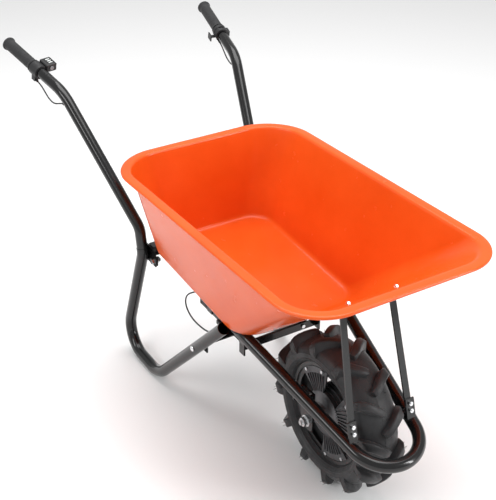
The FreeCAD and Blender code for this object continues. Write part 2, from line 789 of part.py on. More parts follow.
def rotor_magnets():
    """Ring of block magnets bonded inside the drum."""
    solids = []
    count = 20
    for k in range(count):
        frame = frame_at(polar(k * 360 / count, 52.6, 0),
                         polar(k * 360 / count, 60, 0) - polar(k * 360 / count, 50, 0), Y)
        solids.append(placed(Part.makeBox(3.2, 13.5, 34, Vector(0, -6.75, -17)), frame))
    return group(solids)


def motor_stator():
    """Slotted iron stator fixed on the axle."""
    core = spun_ring(-16, 16, AXLE_D / 2 + RUNNING_FIT, 49.5)
    teeth = 18
    for k in range(teeth):
        angle = k * 360 / teeth
        frame = frame_at(polar(angle, 33, 0), polar(angle, 40, 0) - polar(angle, 30, 0), Y)
        core = core.cut(placed(Part.makeBox(13, 7.0, 40, Vector(0, -3.5, -20)), frame))
        core = core.cut(placed(Part.makeBox(20, 2.4, 40, Vector(0, -1.2, -20)), frame))
    for k in range(6):
        core = core.cut(rod(polar(k * 60, 20, -20), Y, 5.0, 40))
    return core.removeSplitter()


def motor_windings():
    """Copper coils in the stator's slots, joined by end turns."""
    teeth = 18
    bars = []
    for k in range(teeth):
        angle = k * 360 / teeth
        frame = frame_at(polar(angle, 33.6, 0), polar(angle, 40, 0) - polar(angle, 30, 0), Y)
        bars.append(placed(Part.makeBox(11.8, 5.8, 42, Vector(0, -2.9, -21)), frame))
    rings = [spun_ring(16.6, 22, 34, 45), spun_ring(-22, -16.6, 34, 45)]
    return rings[0].fuse([rings[1]] + bars).removeSplitter()


def axle():
    """Fixed axle: a thick middle in the bearings and thinner threaded ends."""
    start = Vector(AXLE_X, -112, TYRE_R)
    middle = rod(Vector(AXLE_X, -DROPOUT_Y + 0.3, TYRE_R), Y, AXLE_D / 2, 2 * DROPOUT_Y - 0.6)
    ends = rod(start, Y, AXLE_END_D / 2, 224)
    collar = ring(Vector(AXLE_X, 17, TYRE_R), Y, 13.0, AXLE_D / 2 - 1, 6)
    return middle.fuse([ends, collar, mirrored(collar)]).removeSplitter()


def bearing(side):
    """Sealed ball bearing between the axle and a cover."""
    shape = spun_ring(44, 55, AXLE_D / 2 + RUNNING_FIT, 17.15)
    return shape if side > 0 else mirrored(shape)


def axle_washers():
    thickness = 2.5
    at = Vector(AXLE_X, DROPOUT_Y + DROPOUT_T + 0.1, TYRE_R)
    washer = ring(at, Y, 15.0, AXLE_END_D / 2 + 0.3, thickness)
    spacer = ring(Vector(AXLE_X, 56.4, TYRE_R), Y, 10.5, AXLE_D / 2 + 0.2, 31.0)
    return group([washer, mirrored(washer), spacer, mirrored(spacer)])


def axle_nuts():
    at = Vector(AXLE_X, DROPOUT_Y + DROPOUT_T + 2.8, TYRE_R)
    nut = hexagon(at, Y, 21.0, 10.5).cut(rod(at - Y, Y, AXLE_END_D / 2 + 0.05, 14))
    return group([nut, mirrored(nut)])


def inner_tube():
    """Air tube inside the tyre, with a hole for the valve."""
    hole = turned(rod(Vector(AXLE_X, 0, TYRE_R + 110), Z, 3.9, 30), 70)
    return air_space(0.6).cut(air_space(2.2)).cut(hole)


def valve_stem():
    """Valve through the rim's well, pointing at the axle."""
    stem = rod(Vector(AXLE_X, 0, TYRE_R + 84), Z, 3.6, 44)
    cap = rod(Vector(AXLE_X, 0, TYRE_R + 80), Z, 4.6, 12)
    return turned(stem.fuse(cap).removeSplitter(), 70)


# --- battery and electrics under the floor --------------------------------------------
def battery_cradle():
    """Open frame of steel strip that carries the battery case."""
    low = CRADLE_Z
    high = CRADLE_Z + CRADLE_H
    frame = block(CRADLE_REAR_X, CRADLE_FRONT_X, -CRADLE_HALF_W, CRADLE_HALF_W, low, high)
    frame = frame.cut(block(CRADLE_REAR_X + STRIP, CRADLE_FRONT_X - STRIP,
                            -CRADLE_HALF_W + STRIP, CRADLE_HALF_W - STRIP, low - 1, high + 1))
    plate = block(CRADLE_REAR_X + STRIP, 158, -CRADLE_HALF_W + STRIP, CRADLE_HALF_W - STRIP,
                  low, low + 2.5)
    ledge = block(CRADLE_FRONT_X - 18, CRADLE_FRONT_X - STRIP, -CRADLE_HALF_W + STRIP,
                  CRADLE_HALF_W - STRIP, low, low + 2.5)
    shape = frame.fuse([plate, ledge])
    return shape.removeSplitter()


def cradle_hangers():
    """Bent straps from the rails to the cradle's sides."""
    solids = []
    for x in (0.0, 168.0):
        rail_z = floor_z(x) - RAIL_DROP
        inner = RAIL_Y - RAIL_D / 2 - 0.2
        wall = CRADLE_HALF_W + 0.1
        profile = Part.makePolygon([
            Vector(x, inner, rail_z + 10), Vector(x, inner, rail_z - 14),
            Vector(x, wall + STRIP, CRADLE_Z + 44), Vector(x, wall + STRIP, CRADLE_Z + 2),
            Vector(x, wall, CRADLE_Z + 2), Vector(x, wall, CRADLE_Z + 45),
            Vector(x, inner - STRIP, rail_z - 13), Vector(x, inner - STRIP, rail_z + 10),
            Vector(x, inner, rail_z + 10)])
        strap = Part.Face(profile).extrude(Vector(24, 0, 0))
        solids.append(strap)
        solids.append(mirrored(strap))
    return group(solids)


def lower_crossbar():
    """Flat bar between the legs, under the cradle, with a bent tab at each end."""
    x0 = 105.0
    x1 = 131.0
    z = CRADLE_Z - 5.2
    bar = block(x0, x1, -172.4, 172.4, z, z + 5)
    tab = block(x0, x1, 168.6, 172.4, z - 26, z + 5)
    return bar.fuse([tab, mirrored(tab)]).removeSplitter()


def battery_case():
    """Plastic shell that holds the cells, open at the top."""
    low = CRADLE_Z + 2.7
    outer = block(-39, 150, -84, 84, low, low + 66)
    outer = outer.makeFillet(8, [e for e in outer.Edges if abs(e.tangentAt(0).z) > 0.9])
    outer = outer.cut(block(-36, 147, -81, 81, low + 3, low + 67))
    gland = ring(Vector(HARNESS[0].x, HARNESS[0].y, HARNESS[0].z), Y, 5.0, 2.6, 9.5)
    return outer.fuse(gland).removeSplitter()


def battery_lid():
    low = CRADLE_Z + 2.7 + 66.2
    lid = block(-39, 150, -84, 84, low, low + 5)
    lid = lid.makeFillet(8, [e for e in lid.Edges if abs(e.tangentAt(0).z) > 0.9])
    lip = block(-35.8, 146.8, -80.8, 80.8, low - 6, low + 0.5)
    lip = lip.cut(block(-33, 144, -78, 78, low - 7, low + 0.4))
    return lid.fuse(lip).removeSplitter()


def battery_cells():
    """Round cells in rows, wrapped as one pack."""
    low = CRADLE_Z + 2.7 + 3.2
    solids = []
    for i in range(7):
        for j in range(6):
            at = Vector(-18 + i * 25, -66 + j * 26.4, low)
            solids.append(rod(at, Z, 11.0, 58))
    return group(solids)


def motor_controller():
    """Finned alloy controller screwed up under the back of the floor."""
    x0 = -138.0
    x1 = -56.0
    top = floor_z(x1) - 0.6
    shape = block(x0, x1, -34, 34, top - 26, top - 4)
    fins = [block(x0, x1, -32 + k * 8, -29 + k * 8, top - 34, top - 25) for k in range(9)]
    ears = block(x0 - 10, x1 + 10, -30, 30, top - 4.2, top - 1.0)
    return shape.fuse(fins + [ears]).removeSplitter()


# --- controls -------------------------------------------------------------------------
def handle_frame(s, side):
    """A placement on the grip axis: X runs down the handle, Y to the user's left."""
    start = on_side(GRIP_END, side)
    along = (on_side(UPPER_BEND, side) - start).normalize()
    return frame_at(start + along * s, along, Z)


def grip(side):
    """Rubber grip with a flanged closed end and finger rings."""
    inner = HANDLE_D / 2 + 0.05
    profile = [(0, 0), (0, CAP_D / 2 - 3), (2, CAP_D / 2), (7, CAP_D / 2), (11, GRIP_D / 2)]
    for k in range(9):
        s = 20 + k * 12
        profile += [(s, GRIP_D / 2), (s + 2, GRIP_D / 2 - 0.8), (s + 5, GRIP_D / 2 - 0.8),
                    (s + 7, GRIP_D / 2)]
    profile += [(GRIP_LEN - 5, GRIP_D / 2), (GRIP_LEN - 4, GRIP_D / 2 + 2),
                (GRIP_LEN, GRIP_D / 2 + 2), (GRIP_LEN, inner), (5.5, inner), (5.5, 0)]
    points = [Vector(s, 0, r) for s, r in profile]
    face = Part.Face(Part.makePolygon(points + [points[0]]))
    shape = face.revolve(Vector(0, 0, 0), X, 360)
    return placed(shape, handle_frame(0, side))


def clamp_ring(length, outer):
    """Split ring round the handle tube, with a lobe for its screw."""
    inner = HANDLE_D / 2 + 0.1
    body = ring(Vector(-length / 2, 0, 0), X, outer, inner, length)
    return body


def display_housing():
    """Clamp and box of the battery gauge on the right handle."""
    body = clamp_ring(34, 20.5)
    lug = Part.makeBox(16, 12, 20, Vector(-4, -18, -26))
    lug = lug.cut(rod(Vector(-20, 0, 0), X, HANDLE_D / 2 + 0.1, 60))
    box = Part.makeBox(40, 34, 24, Vector(-18, 14, -2))
    box = box.makeFillet(4, box.Edges)
    box = box.cut(rod(Vector(-30, 0, 0), X, HANDLE_D / 2 + 0.1, 80))
    shape = body.fuse([lug, box])
    window = Part.makeBox(28, 20, 2.0, Vector(-13, 23, 20.2))
    well = rod(Vector(17.0, 31, 10), X, 6.2, 8)
    shape = shape.cut(window).cut(well)
    gland = rod(Vector(8, -12, -24), X, 3.5, 10).cut(rod(Vector(-20, 0, 0), X,
                                                        HANDLE_D / 2 + 0.1, 60))
    return placed(shape.fuse(gland).removeSplitter(), handle_frame(CONTROL_S, -1))


def display_window():
    shape = Part.makeBox(27.6, 19.6, 1.6, Vector(-12.8, 23.2, 20.4))
    return placed(shape, handle_frame(CONTROL_S, -1))


def gauge_bars():
    """Three light bars under the window's face."""
    bars = [Part.makeBox(3.4, 12, 0.8, Vector(-8 + k * 8.4, 27, 22.0)) for k in range(3)]
    return placed(group(bars), handle_frame(CONTROL_S, -1))


def power_button():
    """Round push button in the front end of the gauge box."""
    button = rod(Vector(18.6, 31, 10), X, 5.9, 5.4)
    rim_edge = [e for e in button.Edges if e.Closed and e.CenterOfMass.x > 20]
    return placed(button.makeFillet(0.8, rim_edge), handle_frame(CONTROL_S, -1))


def throttle_housing():
    """Clamp and round body of the thumb throttle on the left handle."""
    body = clamp_ring(30, 21.0)
    lobe = Part.makeBox(24, 14, 20, Vector(-12, 12, -10))
    lobe = lobe.makeFillet(3, lobe.Edges).cut(rod(Vector(-30, 0, 0), X,
                                                  HANDLE_D / 2 + 0.1, 60))
    groove = ring(Vector(-3.6, 0, 0), X, 22.0, 17.7, 7.2)
    keep = Part.makeBox(10, 60, 60, Vector(-5, 8, -30))
    gland = rod(Vector(10, -8, -20), X, 3.5, 10).cut(rod(Vector(-20, 0, 0), X,
                                                        HANDLE_D / 2 + 0.1, 60))
    shape = body.fuse([lobe, gland]).cut(groove.cut(keep))
    return placed(shape.removeSplitter(), handle_frame(CONTROL_S, 1))


def thumb_lever():
    """Lever ring that turns in the throttle's groove, with a thumb paddle."""
    outer = ring(Vector(-3.0, 0, 0), X, 20.2, 18.1, 6.0)
    gap = Part.makeBox(12, 60, 60, Vector(-6, -8.0, -30))
    arm = Part.makeBox(6.0, 15, 7, Vector(-3.0, -33, -12))
    paddle = Part.makeBox(24, 4.5, 20, Vector(-14, -36, -20))
    paddle = paddle.makeFillet(1.8, paddle.Edges)
    shape = outer.cut(gap).fuse(arm.cut(rod(Vector(-10, 0, 0), X, 18.1, 20)))
    return placed(shape.fuse(paddle).removeSplitter(), handle_frame(CONTROL_S, 1))


def control_screws():
    """Clamp screws of both housings."""
    right = rod(Vector(-6.4, -13, -21), X, 3.2, 2.3)
    left = rod(Vector(0, 26.1, 0), Y, 3.2, 2.4)
    return group([placed(right, handle_frame(CONTROL_S, -1)),
                  placed(left, handle_frame(CONTROL_S, 1))])


# --- cables ---------------------------------------------------------------------------
def control_cable(side):
    """Lead from a control down to the hole in the handle tube."""
    local = RIGHT_CABLE if side < 0 else LEFT_CABLE
    place = handle_frame(CONTROL_S, side)
    return [place.multVec(p) for p in local]


def cable_grommets():
    """Rubber bushes where the control leads enter the handle tubes."""
    solids = []
    for side in (-1, 1):
        place = handle_frame(CONTROL_S, side)
        way = place.Rotation.multVec(GROMMET_WAY)
        mouth = place.multVec(RIGHT_CABLE[-1]) - way * 0.3
        bush = rod(mouth - way * 14.0, way, 4.2, 14.0)
        lip = rod(mouth - way * 3.0, way, 5.4, 3.0)
        points = [GRIP_END, UPPER_BEND, LOWER_BEND, HANDLE_FOOT]
        path = route([on_side(p, side) for p in points], [HANDLE_BEND_R, 55.0])
        solids.append(bush.fuse(lip).cut(pipe(path, HANDLE_D / 2 + 0.02)).removeSplitter())
    return group([solid.Solids[0] for solid in solids])


def harness_plug():
    """Sealed connector on the cradle's side that takes the harness."""
    end = HARNESS[-1]
    way = (HARNESS[-1] - HARNESS[-2]).normalize()
    body = block(76, 104, -112, -CRADLE_HALF_W - 0.1, 256, 270)
    body = body.makeFillet(2.5, body.Edges)
    nose = rod(end + way * 0.3, way, 4.6, 9.0)
    return body.fuse(nose).removeSplitter()


# --- build ----------------------------------------------------------------------------
def build():
    save("tray", drilled(tray(), strut_joints()))
    for name, side in SIDES.items():
        save("handle_tube_" + name, handle_tube(side))
        save("leg_" + name, drilled(leg_tube(side), leg_joints()))
        save("rail_" + name, drilled(rail(side), tray_joints()))
        save("leg_bracket_" + name, drilled(leg_bracket(side), frame_joints()))
        save("dropout_" + name, dropout(side))
        save("strut_" + name, drilled(strut(side), strut_joints()))
        save("strut_tab_" + name, drilled(strut_tab(side), strut_joints()))
        save("hub_cover_" + name, hub_cover(side))
        save("bearing_" + name, bearing(side))
        save("grip_" + name, grip(side))
        cord(name + "_control_cable", control_cable(side), CORD_D)
    cord("harness_cable", HARNESS, HARNESS_D)
    save("cable_grommets", cable_grommets())
    save("harness_plug", harness_plug())
    save("front_loop", front_loop())
    save("rear_crossbar", drilled(rear_crossbar(), frame_joints()))
    save("front_crossbar", drilled(front_crossbar(), frame_joints()))
    save("lower_crossbar", drilled(lower_crossbar(), leg_joints()))
    save("tray_bolts", fasteners(tray_joints(), weld_stud))
    save("frame_bolts", fasteners(frame_joints(), bolt))
    save("leg_bolts", fasteners(leg_joints(), dome_bolt))
    save("strut_bolts", fasteners(strut_joints(), bolt))
    save("case_screws", case_screws())
    save("tyre", tyre())
    save("inner_tube", inner_tube())
    save("rim", rim())
    save("valve_stem", valve_stem())
    save("cover_bolts", fasteners(cover_joints(), bolt))
    save("motor_shell", motor_shell())
    save("rotor_magnets", rotor_magnets())
    save("motor_stator", motor_stator())
    save("motor_windings", motor_windings())
    save("axle", axle())
    save("axle_washers", axle_washers())
    save("axle_nuts", axle_nuts())
    save("battery_cradle", drilled(battery_cradle(), case_joints() + frame_joints()))
    save("cradle_hangers", cradle_hangers())
    save("battery_case", drilled(battery_case(), case_joints()))
    save("battery_lid", battery_lid())
    save("battery_cells", battery_cells())
    save("motor_controller", motor_controller())
    save("display_housing", display_housing())
    save("display_window", display_window())
    save("gauge_bars", gauge_bars())
    save("power_button", power_button())
    save("throttle_housing", throttle_housing())
    save("thumb_lever", thumb_lever())
    save("control_screws", control_screws())


build()
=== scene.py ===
"""Looks for a powered wheelbarrow: camera, light, materials and detailed pieces."""

import json
import math
import random

import bmesh
import bpy
from mathutils import Matrix, Vector


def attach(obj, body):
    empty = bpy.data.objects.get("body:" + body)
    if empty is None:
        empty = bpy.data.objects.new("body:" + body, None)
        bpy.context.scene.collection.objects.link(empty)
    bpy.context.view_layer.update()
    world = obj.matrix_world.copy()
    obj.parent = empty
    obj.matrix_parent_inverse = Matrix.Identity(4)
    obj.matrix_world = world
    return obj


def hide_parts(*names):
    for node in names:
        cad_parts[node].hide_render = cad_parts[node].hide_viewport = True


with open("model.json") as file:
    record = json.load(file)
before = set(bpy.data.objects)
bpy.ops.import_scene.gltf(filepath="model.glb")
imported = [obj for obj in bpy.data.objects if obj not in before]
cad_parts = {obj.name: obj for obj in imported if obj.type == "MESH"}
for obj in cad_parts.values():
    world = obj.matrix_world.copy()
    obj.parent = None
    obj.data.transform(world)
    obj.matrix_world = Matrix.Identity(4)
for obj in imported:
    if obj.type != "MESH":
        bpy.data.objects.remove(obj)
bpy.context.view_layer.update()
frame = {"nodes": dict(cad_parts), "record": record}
NODES = frame["nodes"]
SCENE = bpy.context.scene
SEED = 7
random.seed(SEED)


# --- camera, light and floor ----------------------------------------------------------
SENSOR_MM = 36.0
LENS_MM = 75.777
LENS_SHIFT = 0.0428
CAMERA_PLACE = (2.0837, -1.2696, 1.8930)
CAMERA_RIGHT = (0.5100, 0.8602, 0.0)
CAMERA_BACK = (0.7355, -0.4361, 0.5185)
SIGHT_LIMIT = 50.0
SKY_STRENGTH = 0.60
FLOOR_REACH = 14.0
PAPER_SHADE = 0.9
PAPER_ROUGHNESS = 0.9
# name, place, aimed at, size, power in watts
LIGHTS = [
    ("key", (0.2, -2.9, 2.1), (0, 0, 0.4), (2.2, 0.5), 30),
    ("top", (-0.2, 0.3, 3.4), (0, 0, 0.4), (3.4, 2.6), 112),
    ("fill", (3.0, 1.9, 1.6), (0.2, 0, 0.3), (0.4, 2.2), 45),
]


def make_camera():
    """A camera in front of the barrow, to its right and above it."""
    data = bpy.data.cameras.new("camera")
    data.sensor_width = SENSOR_MM
    data.lens = LENS_MM
    data.shift_x = LENS_SHIFT
    data.clip_end = SIGHT_LIMIT
    camera = bpy.data.objects.new("camera", data)
    right = Vector(CAMERA_RIGHT)
    back = Vector(CAMERA_BACK).normalized()
    up = back.cross(right).normalized()
    right = up.cross(back).normalized()
    turn = Matrix((right, up, back)).transposed().to_4x4()
    camera.matrix_world = Matrix.Translation(Vector(CAMERA_PLACE)) @ turn
    SCENE.collection.objects.link(camera)
    SCENE.camera = camera


def area_light(name, place, target, size, power):
    """A rectangular light at a place, aimed at a target."""
    data = bpy.data.lights.new(name, "AREA")
    data.shape = "RECTANGLE"
    data.size, data.size_y = size
    data.energy = power
    light = bpy.data.objects.new(name, data)
    light.location = place
    aim = Vector(target) - Vector(place)
    light.rotation_euler = aim.to_track_quat("-Z", "Y").to_euler()
    SCENE.collection.objects.link(light)


def make_stage():
    """White surroundings, three area lights and a paper floor."""
    world = bpy.data.worlds.new("studio")
    SCENE.world = world
    world.use_nodes = True
    sky = world.node_tree.nodes["Background"]
    sky.inputs["Color"].default_value = (1.0, 1.0, 1.0, 1.0)
    sky.inputs["Strength"].default_value = SKY_STRENGTH
    for light in LIGHTS:
        area_light(*light)
    mesh = bpy.data.meshes.new("floor")
    far = FLOOR_REACH
    corners = [(-far, -far, 0), (far, -far, 0), (far, far, 0), (-far, far, 0)]
    mesh.from_pydata(corners, [], [(0, 1, 2, 3)])
    floor = bpy.data.objects.new("floor", mesh)
    SCENE.collection.objects.link(floor)
    material = bpy.data.materials.new("floor_paper")
    material.use_nodes = True
    shader = material.node_tree.nodes["Principled BSDF"]
    shader.inputs["Base Color"].default_value = (PAPER_SHADE,) * 3 + (1.0,)
    shader.inputs["Roughness"].default_value = PAPER_ROUGHNESS
    mesh.materials.append(material)
    SCENE.view_settings.view_transform = "Standard"


# --- materials ------------------------------------------------------------------------
NOISE_LOW = 0.3
NOISE_HIGH = 0.7


class Paint:
    """A procedural material: a shader with noise in its colour, roughness and bump."""

    def __init__(self, name, **constants):
        self.material = bpy.data.materials.new(name)
        self.material.use_nodes = True
        self.tree = self.material.node_tree
        self.shader = self.tree.nodes["Principled BSDF"]
        for socket, value in constants.items():
            self.shader.inputs[socket.replace("_", " ")].default_value = value
        self.place = self.node("ShaderNodeTexCoord").outputs["Object"]
        self.normal = None

    def node(self, kind):
        return self.tree.nodes.new(kind)

    def link(self, a, b):
        self.tree.links.new(a, b)

    def noise(self, scale, detail=3.0, roughness=0.55, stretch=None):
        node = self.node("ShaderNodeTexNoise")
        node.inputs["Scale"].default_value = scale
        node.inputs["Detail"].default_value = detail
        node.inputs["Roughness"].default_value = roughness
        if stretch is None:
            self.link(self.place, node.inputs["Vector"])
        else:
            mapping = self.node("ShaderNodeMapping")
            mapping.inputs["Scale"].default_value = stretch
            self.link(self.place, mapping.inputs["Vector"])
            self.link(mapping.outputs["Vector"], node.inputs["Vector"])
        return node.outputs["Fac"]

    def cells(self, scale):
        node = self.node("ShaderNodeTexVoronoi")
        node.inputs["Scale"].default_value = scale
        self.link(self.place, node.inputs["Vector"])
        return node.outputs["Distance"]

    def colour(self, source, stops):
        """Base colour from a source, between two (place, colour) stops."""
        node = self.node("ShaderNodeValToRGB")
        for element, (at, colour) in zip(node.color_ramp.elements, stops):
            element.position = at
            element.color = (*colour, 1.0)
        self.link(source, node.inputs["Fac"])
        self.link(node.outputs["Color"], self.shader.inputs["Base Color"])

    def rough(self, source, low, high):
        """Roughness from a source, spread between two values."""
        node = self.node("ShaderNodeMapRange")
        node.inputs["From Min"].default_value = NOISE_LOW
        node.inputs["From Max"].default_value = NOISE_HIGH
        node.inputs["To Min"].default_value = low
        node.inputs["To Max"].default_value = high
        self.link(source, node.inputs["Value"])
        self.link(node.outputs["Result"], self.shader.inputs["Roughness"])

    def bump(self, source, distance, strength):
        """A bump from a source, laid over any bumps made before it."""
        node = self.node("ShaderNodeBump")
        node.inputs["Strength"].default_value = strength
        node.inputs["Distance"].default_value = distance
        self.link(source, node.inputs["Height"])
        if self.normal is not None:
            self.link(self.normal, node.inputs["Normal"])
        self.normal = node.outputs["Normal"]
        self.link(self.normal, self.shader.inputs["Normal"])


def enamel(name, dark, light, rough=(0.14, 0.24), coat=0.6, gloss=0.5):
    """Baked enamel: a soft orange-peel surface, faint dust and clear gloss."""
    paint = Paint(name, Coat_Weight=coat, Coat_Roughness=0.06, Specular_IOR_Level=gloss)
    paint.colour(paint.noise(5.0, 5.0), [(0.30, dark), (0.72, light)])
    paint.rough(paint.noise(24.0, 6.0, 0.65), *rough)
    paint.bump(paint.noise(420.0, 2.0), 0.00006, 0.2)
    paint.bump(paint.noise(38.0, 2.0), 0.0003, 0.08)
    return paint.material


def rubber(name, dark, light, grain=700.0, depth=0.0004, rough=(0.55, 0.75)):
    """Matt rubber with a fine grain and a slight sheen."""
    paint = Paint(name, Specular_IOR_Level=0.4, Sheen_Weight=0.08)
    paint.colour(paint.noise(14.0, 6.0, 0.6), [(0.3, dark), (0.7, light)])
    paint.rough(paint.noise(60.0, 4.0), *rough)
    paint.bump(paint.noise(grain, 3.0), depth, 0.6)
    return paint.material


def plastic(name, dark, light, rough=(0.38, 0.52), grain=1100.0):
    """Moulded plastic with a fine spark-eroded grain."""
    paint = Paint(name, Specular_IOR_Level=0.5)
    paint.colour(paint.noise(9.0, 4.0), [(0.3, dark), (0.7, light)])
    paint.rough(paint.noise(45.0, 4.0), *rough)
    paint.bump(paint.cells(grain), 0.00016, 0.5)
    return paint.material


def metal(name, dark, light, rough=(0.22, 0.38), stretch=(1.0, 1.0, 1.0), grain=260.0):
    """Bare metal; stretch draws its grain out along one axis."""
    paint = Paint(name, Metallic=1.0)
    paint.colour(paint.noise(30.0, 5.0), [(0.3, dark), (0.7, light)])
    paint.rough(paint.noise(90.0, 4.0, stretch=stretch), *rough)
    paint.bump(paint.noise(grain, 3.0, stretch=stretch), 0.00015, 0.4)
    return paint.material


def make_materials():
    """Every look, and each CAD node wearing the look of its slot."""
    looks = {
        "orange_enamel": enamel("orange_enamel", (0.70, 0.082, 0.007), (0.79, 0.108, 0.013),
                                (0.18, 0.28), 0.06, 0.28),
        "black_enamel": enamel("black_enamel", (0.0022, 0.0022, 0.0025), (0.0055, 0.0055, 0.006),
                               (0.16, 0.26), 0.35, 0.36),
        "rim_enamel": enamel("rim_enamel", (0.008, 0.008, 0.009), (0.016, 0.016, 0.017),
                             (0.30, 0.42), 0.2),
        "grey_alloy": metal("grey_alloy", (0.10, 0.10, 0.105), (0.17, 0.17, 0.175),
                            (0.42, 0.58), grain=500.0),
        "bearing_steel": metal("bearing_steel", (0.55, 0.55, 0.56), (0.68, 0.68, 0.69),
                               stretch=(1.0, 14.0, 1.0)),
        "lamination_steel": metal("lamination_steel", (0.30, 0.30, 0.31), (0.40, 0.40, 0.41),
                                  (0.4, 0.5), stretch=(1.0, 60.0, 1.0)),
        "copper_wire": metal("copper_wire", (0.62, 0.24, 0.10), (0.75, 0.34, 0.15),
                             stretch=(1.0, 1.0, 30.0)),
        "zinc_steel": metal("zinc_steel", (0.66, 0.67, 0.69), (0.82, 0.83, 0.84),
                            (0.16, 0.30)),
        "grip_rubber": rubber("grip_rubber", (0.009, 0.009, 0.010), (0.018, 0.018, 0.019),
                              900.0, 0.0005),
        "cable_rubber": rubber("cable_rubber", (0.012, 0.012, 0.013), (0.022, 0.022, 0.023),
                               1500.0, 0.0002, (0.38, 0.5)),
        "tube_rubber": rubber("tube_rubber", (0.020, 0.020, 0.020), (0.030, 0.030, 0.030)),
        "tyre_rubber": rubber("tyre_rubber", (0.009, 0.009, 0.010), (0.024, 0.024, 0.026),
                              650.0, 0.0006, (0.36, 0.58)),
        "black_plastic": plastic("black_plastic", (0.009, 0.009, 0.010), (0.018, 0.018, 0.019)),
        "button_plastic": plastic("button_plastic", (0.20, 0.20, 0.21), (0.30, 0.30, 0.31),
                                  (0.3, 0.4)),
        "cell_wrap": plastic("cell_wrap", (0.08, 0.20, 0.36), (0.12, 0.27, 0.45)),
        "window_glass": plastic("window_glass", (0.010, 0.010, 0.011), (0.016, 0.016, 0.017),
                                (0.08, 0.14), 200.0),
        "light_bars": plastic("light_bars", (0.66, 0.69, 0.68), (0.80, 0.82, 0.80)),
    }
    for part in frame["record"]["subparts"]:
        node = NODES[part["node"]]
        node.data.materials.clear()
        node.data.materials.append(looks[part["material_slot"]])
    return looks


# --- shape helpers --------------------------------------------------------------------
def mesh_object(name, verts, faces, look, smooth):
    """A smooth-shaded mesh with sharp edges kept above an angle, wearing one look."""
    mesh = bpy.data.meshes.new(name)
    mesh.from_pydata([tuple(v) for v in verts], [], faces)
    work = bmesh.new()
    work.from_mesh(mesh)
    bmesh.ops.recalc_face_normals(work, faces=work.faces)
    work.to_mesh(mesh)
    work.free()
    mesh.materials.append(LOOKS[look])
    for polygon in mesh.polygons:
        polygon.use_smooth = True
    mesh.set_sharp_from_angle(angle=math.radians(smooth))
    thing = bpy.data.objects.new(name, mesh)
    SCENE.collection.objects.link(thing)
    return thing


def grid_faces(rows, columns, closed_rows=False):
    """Quads between rings of points; each ring is closed."""
    faces = []
    last = rows if closed_rows else rows - 1
    for i in range(last):
        a, b = i * columns, ((i + 1) % rows) * columns
        for j in range(columns):
            k = (j + 1) % columns
            faces.append((a + j, a + k, b + k, b + j))
    return faces


def lathe(origin, axis, profile, steps, closed=False):
    """Points and faces of a turned shape from (along, radius) pairs."""
    axis = Vector(axis).normalized()
    first = axis.orthogonal().normalized()
    second = axis.cross(first)
    verts = []
    for along, radius in profile:
        for k in range(steps):
            angle = 2 * math.pi * k / steps
            verts.append(Vector(origin) + axis * along
                         + (first * math.cos(angle) + second * math.sin(angle)) * radius)
    return verts, grid_faces(len(profile), steps, closed)


def stand_for(thing, body, slot, *nodes):
    """A detailed piece that rides a body in place of CAD nodes."""
    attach(thing, body)
    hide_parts(*nodes)


# --- cords ----------------------------------------------------------------------------
# piece, CAD node it stands for, diameter, length, route
CORDS = [
    ("right_lead", "right_control_cable", 0.004, 0.1256,
     [(-0.58186, -0.30808, 0.76105), (-0.56511, -0.30616, 0.75615),
      (-0.54559, -0.30375, 0.74342), (-0.5269, -0.30048, 0.72777),
      (-0.50644, -0.29385, 0.71774), (-0.49021, -0.27984, 0.72192),
      (-0.47514, -0.2772, 0.7264)]),
    ("left_lead", "left_control_cable", 0.004, 0.1196,
     [(-0.58251, 0.28789, 0.7645), (-0.5661, 0.284, 0.7596),
      (-0.54631, 0.28053, 0.74882), (-0.52605, 0.278, 0.73489),
      (-0.50753, 0.27983, 0.72359), (-0.49021, 0.27984, 0.72192),
      (-0.47514, 0.2772, 0.7264)]),
    ("battery_lead", "harness_cable", 0.0045, 0.2918,
     [(-0.03, -0.0935, 0.3), (-0.033, -0.112, 0.297), (-0.052, -0.124, 0.285),
      (-0.071, -0.124, 0.262), (-0.076, -0.123, 0.235), (-0.06, -0.121, 0.212),
      (-0.03, -0.12, 0.203), (0.004, -0.12, 0.205), (0.036, -0.119, 0.209),
      (0.062, -0.114, 0.219), (0.079, -0.107, 0.234), (0.086, -0.104, 0.25)]),
]


def make_cords():
    """The three leads, as smooth splines along their routes."""
    leads = []
    for name, node, diameter, length, points in CORDS:
        curve = bpy.data.curves.new(name, "CURVE")
        curve.dimensions = "3D"
        curve.bevel_depth = 1.0
        curve.bevel_resolution = 6
        curve.resolution_u = 16
        spline = curve.splines.new("NURBS")
        spline.points.add(len(points) - 1)
        for point, place in zip(spline.points, points):
            point.co = (*place, 1.0)
            point.radius = diameter / 2
        spline.order_u = 3
        spline.use_endpoint_u = True
        lead = bpy.data.objects.new(name, curve)
        SCENE.collection.objects.link(lead)
        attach(lead, "frame")
        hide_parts(node)
        leads.append(lead)
    return leads


# --- tray -----------------------------------------------------------------------------
SHEET = 0.0015
FLOOR = {"rear": -0.168, "front": 0.310, "half": 0.183, "rear_r": 0.070, "front_r": 0.070,
         "rear_z": 0.399, "front_z": 0.368}
RIM = {"rear": -0.218, "front": 0.7105, "half": 0.2775, "rear_r": 0.134, "front_r": 0.117,
       "rear_z": 0.659, "front_z": 0.6865}
FLANGE = 0.022
FLOOR_MIDDLE_IN = 0.040
FLOOR_BEND_IN = 0.0135
FLOOR_BEND_SHARE = 0.045
WALL_STEPS = 10
RIM_BEND_SHARE = 0.972
RIM_BEND_OUT = 0.0055
BEND_STEPS = 6
ROLL_R = 0.0045
ROLL_START_IN = 0.006
ROLL_CENTRE_IN = 0.001
ROLL_STEPS = 8
ROLL_TURN = 240
CORNER_STEPS = 20
SIDE_STEPS = 6


